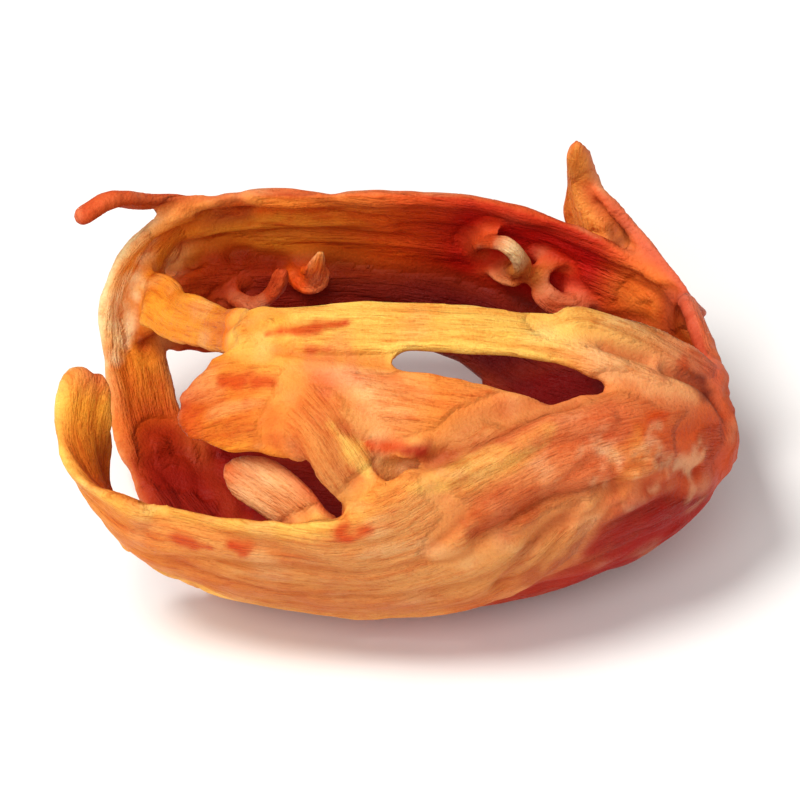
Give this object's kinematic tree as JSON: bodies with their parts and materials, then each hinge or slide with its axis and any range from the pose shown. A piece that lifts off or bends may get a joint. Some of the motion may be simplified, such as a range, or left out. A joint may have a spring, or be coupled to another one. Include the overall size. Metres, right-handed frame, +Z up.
{
  "type": "dried nutmeg aril",
  "caption": "Dried nutmeg aril lying on its side: one open cage of flat, curved lobes that join at the base and keep the hollow of the seed.",
  "frame": {"origin": "centre of the box's bottom, on the surface that the aril lies on", "axes": "+X along the aril from its tip to its base, +Y from its open front wall to its back wall, +Z up"},
  "size_m": [0.0378, 0.0276, 0.0194],
  "materials": {
    "dried_skin": "waxy, semi-matte"
  },
  "bodies": {
    "root": {"aril": "dried_skin"}
  },
  "joints": []
}
